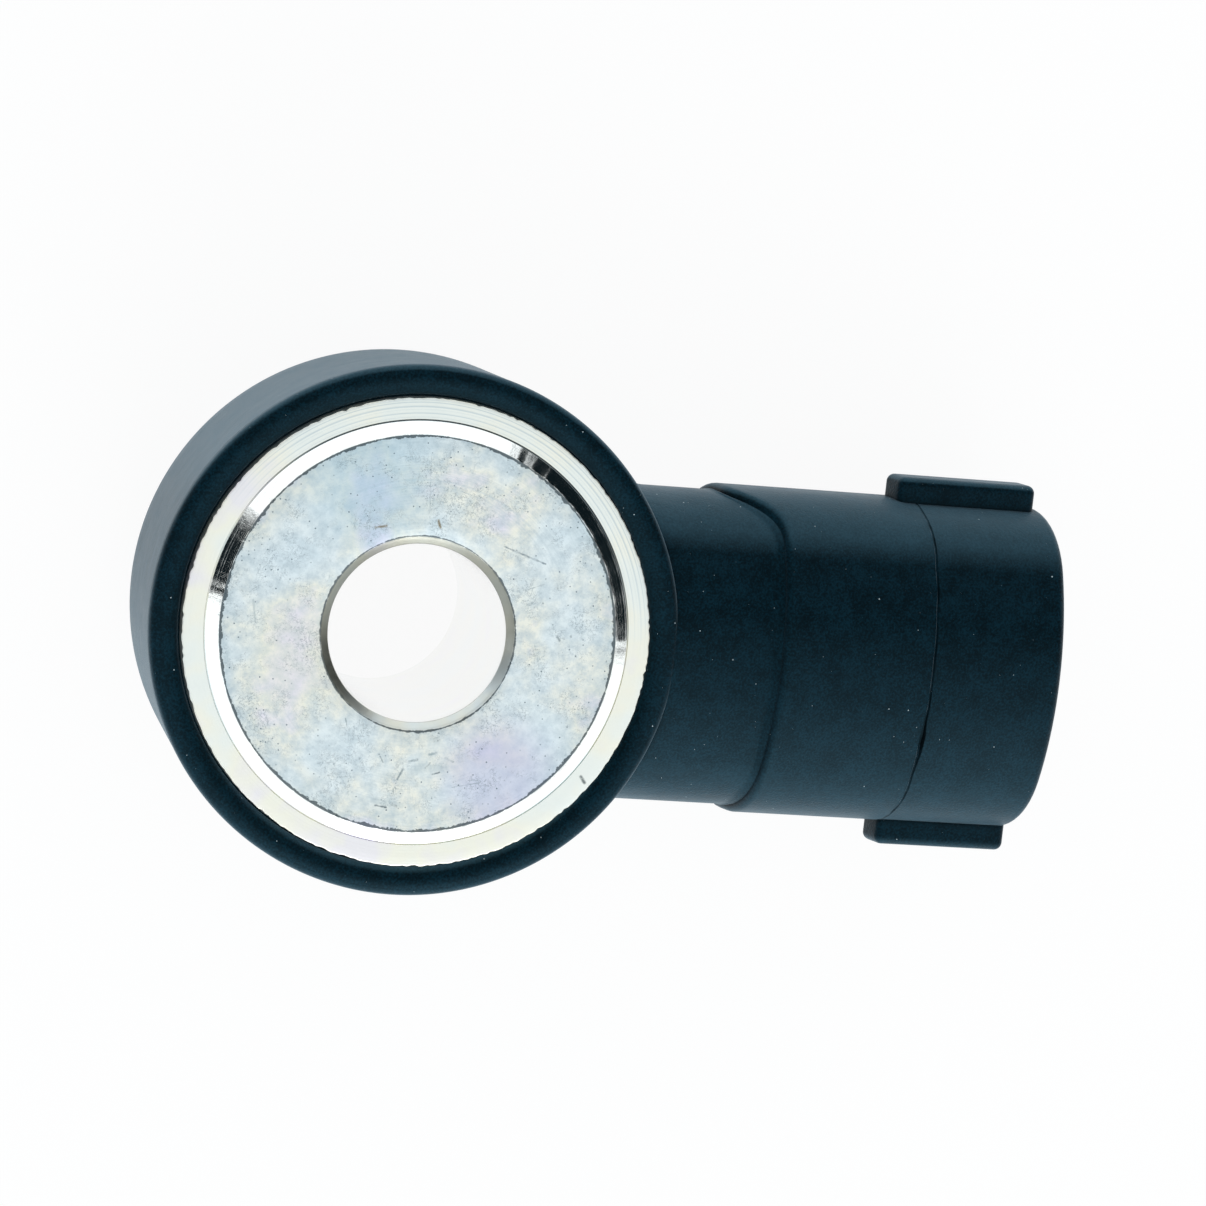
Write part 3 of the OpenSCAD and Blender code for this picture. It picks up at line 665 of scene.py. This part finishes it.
def socketRings(h):
    neckT = h["shroudT"] - h["neckStepNear"] - h["neckStepFar"]
    neckShift = (h["neckStepFar"] - h["neckStepNear"]) / 2
    neck = ovalRing(h["neckW"], neckT, h["neckR"], h["crownR"], neckShift)
    shroud = ovalRing(h["shroudW"], h["shroudT"], h["shroudR"], h["crownR"])
    cavity = ovalRing(h["shroudW"] - 2 * h["wall"], h["shroudT"] - 2 * h["wall"],
                      h["socketR"], None)
    rings = []
    clear = 15.4
    steps = 24
    for k in range(steps + 1):
        along, swell = [], []
        for y, t in neck:
            inner = 10.6 + 1.5 * smoothStep(0.5, 3.5, t)
            start = wallStation(y, t, inner)
            s = start + (clear - start) * (k / steps) ** 1.3
            gap = s - wallStation(y, t, h["bodyR"])
            fillet = h["filletR"] * (1 - smoothStep(-1.5, 1.0, t))
            bend = min(max(fillet - gap, 0.0), fillet)
            swell.append(fillet - math.sqrt(max(fillet ** 2 - bend ** 2, 0.0)))
            along.append(s)
        section = grown(neck, swell)
        rings.append([(s, y, t) for s, (y, t) in zip(along, section)])
    for s in (15.9, 16.3, 16.6, h["shoulderS"] - 0.3):
        rings.append([(s, y, t) for y, t in neck])
    rings.append([(h["shoulderS"] - 0.22, y, t) for y, t in grown(neck, 0.05)])
    e = h["shoulderEdge"]
    for k in range(7):
        a = math.radians(90 * k / 6)
        section = grown(shroud, -e * (1 - math.sin(a)))
        rings.append([(h["shoulderS"] + e * (1 - math.cos(a)), y, t)
                      for y, t in section])
    for s in (17.8, 18.6, 20.0, 21.5, 23.0, 24.0, 24.5, 24.75, 24.86):
        rings.append([(s, y, t) for y, t in shroud])
    # seam between the two mould halves: a fine, uneven groove that gapes in one place
    for along, depth in ((-1, 0.0), (-0.4, 1.0), (0.4, 1.0), (1, 0.2)):
        depths, drifts = [], []
        for y, t in shroud:
            rough = 0.55 + 0.7 * noise.noise(Vector((y * 2.3, t * 2.3, 2.0)))
            gape = 1.2 * math.exp(-((y + 3.4) / 0.9) ** 2) if t > 0 else 0.0
            depths.append(-h["seamDepth"] * depth * (rough + gape))
            drifts.append(0.06 * noise.noise(Vector((y * 0.9, t * 0.9, 7.0)))
                          + along * h["seamWidth"] * (1 + gape))
        rings.append([(h["seamS"] + drift, py, pt) for drift, (py, pt)
                      in zip(drifts, grown(shroud, depths))])
    for s in (25.16, 25.3, 25.6, 26.4, 27.6, 29.0, 30.2, 31.0):
        rings.append([(s, y, t) for y, t in grown(shroud, -0.015)])
    m = h["mouthEdge"]
    for k in range(10):
        a = math.radians(90 * k / 9)
        section = grown(shroud, -0.015 - m * (1 - math.cos(a)))
        rings.append([(h["mouthS"] - m * (1 - math.sin(a)), y, t) for y, t in section])
    lip = h["lipEdge"]
    for k in range(5):
        a = math.radians(90 * k / 4)
        section = grown(cavity, lip * (1 - math.sin(a)))
        rings.append([(h["mouthS"] - lip * (1 - math.cos(a)), y, t)
                      for y, t in section])
    for s in (29.0, 26.0, 23.0, h["floorS"] + 0.25):
        rings.append([(s, y, t) for y, t in cavity])
    for inset, lift in ((0.08, 0.07), (0.25, 0.0), (1.2, 0.0)):
        rings.append([(h["floorS"] + lift, y, t) for y, t in grown(cavity, -inset)])
    return [[socketPoint(slanted(h, s, y, t), y, t) for s, y, t in ring] for ring in rings]


def ribRings(h, side):
    # one guide rib, rooted just inside the side wall
    root = 0.5
    middle = side * (h["shroudW"] / 2 + (h["ribH"] - root) / 2)
    rib = ovalRing(h["ribH"] + root, h["ribT"], h["ribEdge"], None, 0, 6, 6, 6)
    e = h["ribEdge"]
    quarter = [math.radians(15 * k) for k in range(7)]
    start = h["seamS"] + 0.02 - (h["ribLead"] if side > 0 else 0.0)
    end = h["mouthS"] - 0.1 - (h["ribShort"] if side > 0 else 0.0)
    stations = [(start + e * (1 - math.cos(a)), -e * (1 - math.sin(a))) for a in quarter]
    stations += [(end - e * (1 - math.sin(a)), -e * (1 - math.cos(a))) for a in quarter]
    return [[socketPoint(s, middle + y, h["ribMidT"] + t) for y, t in grown(rib, inset)]
            for s, inset in stations]


def plainObject(bm, name):
    bmesh.ops.recalc_face_normals(bm, faces=bm.faces)
    mesh = bpy.data.meshes.new(name)
    bm.to_mesh(mesh)
    bm.free()
    obj = bpy.data.objects.new(name, mesh)
    bpy.context.scene.collection.objects.link(obj)
    return obj


def merged(parts):
    # joins solids into one skin, so that nothing is left inside it, and gives back its mesh
    base = parts[0]
    for other in parts[1:]:
        join = base.modifiers.new("join", "BOOLEAN")
        join.operation = "UNION"
        join.solver = "EXACT"
        join.object = other
    bpy.context.view_layer.update()
    skin = base.evaluated_get(bpy.context.evaluated_depsgraph_get()).to_mesh()
    bm = bmesh.new()
    bm.from_mesh(skin)
    base.evaluated_get(bpy.context.evaluated_depsgraph_get()).to_mesh_clear()
    for part in parts:
        mesh = part.data
        bpy.data.objects.remove(part)
        bpy.data.meshes.remove(mesh)
    bmesh.ops.remove_doubles(bm, verts=bm.verts, dist=0.002 * mm)
    bmesh.ops.dissolve_degenerate(bm, edges=bm.edges, dist=0.002 * mm)
    return bm


parts = []
for partName in ("body", "socket", "ribRight", "ribLeft"):
    bm = bmesh.new()
    if partName == "body":
        latheRings(bm, subdivided(bodyProfile(housing), 1.2), housing["segments"], flashEdge)
    elif partName == "socket":
        loftRings(bm, socketRings(housing))
    else:
        loftRings(bm, ribRings(housing, -1 if partName == "ribRight" else 1))
    parts.append(plainObject(bm, partName))
bm = merged(parts)
openEdges = sum(1 for edge in bm.edges if len(edge.link_faces) != 2)
housingObj = finishMesh(bm, "mouldedHousing", glassFilledNylon)
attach(housingObj, "root")
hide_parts("housing")
print("housing moulded,", len(housingObj.data.polygons), "faces,", openEdges, "open edges")

# camera: the photograph looks almost straight down on the contact face
photo = {
    "sizePx": 1206, "pxPerMm": 21.4, "distanceMm": 420.0, "faceCentrePx": (418.0, 634.0),
    "tiltDeg": 11.6, "tiltTowardsDeg": 142.5, "socketSlopeDeg": 5.5, "sensorMm": 36.0,
}


def placeCamera(p):
    tilt, towards = math.radians(p["tiltDeg"]), math.radians(p["tiltTowardsDeg"])
    up = Vector((-math.sin(tilt) * math.cos(towards), -math.sin(tilt) * math.sin(towards),
                 math.cos(tilt)))  # the bore axis as the camera sees it
    slope = math.radians(p["socketSlopeDeg"])
    right = Vector((math.cos(slope), -math.sin(slope), 0))
    right.z = -(up.x * right.x + up.y * right.y) / up.z
    right.normalize()
    across = up.cross(right)
    turn = Matrix((right, across, up))
    half = p["sizePx"] / 2
    fromCamera = Vector(((p["faceCentrePx"][0] - half) / p["pxPerMm"],
                         (half - p["faceCentrePx"][1]) / p["pxPerMm"], -p["distanceMm"]))
    camera = bpy.data.objects.new("photoCamera", bpy.data.cameras.new("photoCamera"))
    camera.data.sensor_width = p["sensorMm"]
    camera.data.lens = p["pxPerMm"] * p["distanceMm"] / p["sizePx"] * p["sensorMm"]
    camera.data.clip_start = 0.01
    where = (Vector((0, 0, faceZ)) - turn @ fromCamera) * mm
    camera.matrix_world = Matrix.Translation(where) @ turn.to_4x4()
    bpy.context.scene.collection.objects.link(camera)
    bpy.context.scene.camera = camera
    return turn


cameraTurn = placeCamera(photo)
print("camera placed")

# plain pale floor under the bolt-head end
floorLook = {"sizeMm": 3000, "gapMm": 0.02, "colour": "#f2f4f5", "whiteShare": 0.93}


def makeFloor(f):
    half = f["sizeMm"] / 2 * mm
    mesh = bpy.data.meshes.new("floor")
    low = -f["gapMm"] * mm
    mesh.from_pydata([(-half, -half, low), (half, -half, low), (half, half, low),
                      (-half, half, low)],
                     [], [(0, 1, 2, 3)])
    floor = bpy.data.objects.new("floor", mesh)
    bpy.context.scene.collection.objects.link(floor)
    material = bpy.data.materials.new("paperFloor")
    material.use_nodes = True
    tree = material.node_tree
    tree.nodes.clear()
    rays = addNode(tree, "ShaderNodeLightPath").outputs
    seen = mathNode(tree, "ADD", rays["Is Camera Ray"], rays["Is Glossy Ray"], clamp=True)
    paper = addNode(tree, "ShaderNodeBsdfDiffuse", {"Color": srgbToLinear(f["colour"])})
    white = addNode(tree, "ShaderNodeEmission", {"Color": (1, 1, 1, 1), "Strength": 1.0})
    both = addNode(tree, "ShaderNodeMixShader", {
        0: mathNode(tree, "MULTIPLY", seen, f["whiteShare"]),
        1: paper.outputs[0], 2: white.outputs[0]})
    addNode(tree, "ShaderNodeOutputMaterial", {"Surface": both.outputs[0]})
    mesh.materials.append(material)


makeFloor(floorLook)

# lights: one broad soft box beside the camera, a low one in front and a faint one at the left
lamps = {
    "mainBox": {"from": (0.25, -0.27, 0.92), "distanceMm": 700, "sizeMm": 900, "watts": 2.2},
    "lowFront": {"from": (0.15, -0.88, 0.35), "distanceMm": 800, "sizeMm": 500, "watts": 2.6},
    "leftFill": {"from": (-0.93, 0.34, 0.12), "distanceMm": 800, "sizeMm": 400, "watts": 1.2},
}
aim = Vector((8, 0, 8)) * mm
for lampName, lamp in lamps.items():
    light = bpy.data.lights.new(lampName, "AREA")
    light.shape = "SQUARE"
    light.size = lamp["sizeMm"] * mm
    light.energy = lamp["watts"]
    lampObj = bpy.data.objects.new(lampName, light)
    direction = (cameraTurn @ Vector(lamp["from"])).normalized()  # given as the camera sees it
    lampObj.location = aim + direction * lamp["distanceMm"] * mm
    lampObj.rotation_euler = direction.to_track_quat("Z", "Y").to_euler()
    bpy.context.scene.collection.objects.link(lampObj)

# the room: bright low down, darker overhead, with dark cards near the horizon that give the
# bevel of the face its black stretches; angles are in degrees round the bore from the socket
room = {
    "low": "#f4f8fa", "high": "#647076", "card": "#0a1317", "strength": 1.35,
    "cards": [(-6, 55, 1.0), (153, 183, 1.0)], "cardLow": 0.03, "cardHigh": 0.6,
}


def makeRoom(r):
    world = bpy.data.worlds.new("studio")
    bpy.context.scene.world = world
    world.use_nodes = True
    sky = world.node_tree
    sky.nodes.clear()
    toSky = addNode(sky, "ShaderNodeTexCoord").outputs["Generated"]
    axes = addNode(sky, "ShaderNodeSeparateXYZ", {"Vector": toSky})
    height = axes.outputs["Z"]
    shade = ramp(sky, height, [(0.52, srgbToLinear(r["low"])), (0.8, srgbToLinear(r["high"]))])
    turn = mathNode(sky, "ARCTAN2", axes.outputs["Y"], axes.outputs["X"])
    degrees = mathNode(sky, "DEGREES", turn)
    colour = shade.outputs["Color"]
    rise = addNode(sky, "ShaderNodeMapRange", {
        "Value": height, "From Min": r["cardLow"] - 0.05, "From Max": r["cardLow"] + 0.05})
    fall = addNode(sky, "ShaderNodeMapRange", {
        "Value": height, "From Min": r["cardHigh"] + 0.05, "From Max": r["cardHigh"] - 0.05})
    tall = mathNode(sky, "MULTIPLY", rise.outputs[0], fall.outputs[0])
    for start, end, strength in r["cards"]:
        away = mathNode(sky, "ABSOLUTE", mathNode(sky, "SUBTRACT", degrees, (start + end) / 2))
        across = addNode(sky, "ShaderNodeMapRange", {
            "Value": away, "From Min": (end - start) / 2 + 3, "From Max": (end - start) / 2 - 3,
            "To Max": strength})
        colour = addNode(sky, "ShaderNodeMix", {
            0: mathNode(sky, "MULTIPLY", across.outputs[0], tall), 6: colour,
            7: srgbToLinear(r["card"])}, data_type="RGBA").outputs[2]
    rays = addNode(sky, "ShaderNodeLightPath").outputs
    lit = addNode(sky, "ShaderNodeBackground", {"Color": colour, "Strength": r["strength"]})
    clear = addNode(sky, "ShaderNodeBackground", {"Color": (1, 1, 1, 1), "Strength": 1.0})
    choice = addNode(sky, "ShaderNodeMixShader", {
        0: rays["Is Camera Ray"], 1: lit.outputs[0], 2: clear.outputs[0]})
    addNode(sky, "ShaderNodeOutputWorld", {"Surface": choice.outputs[0]})


makeRoom(room)
bpy.context.scene.view_settings.view_transform = "Standard"
print("floor and lights set")
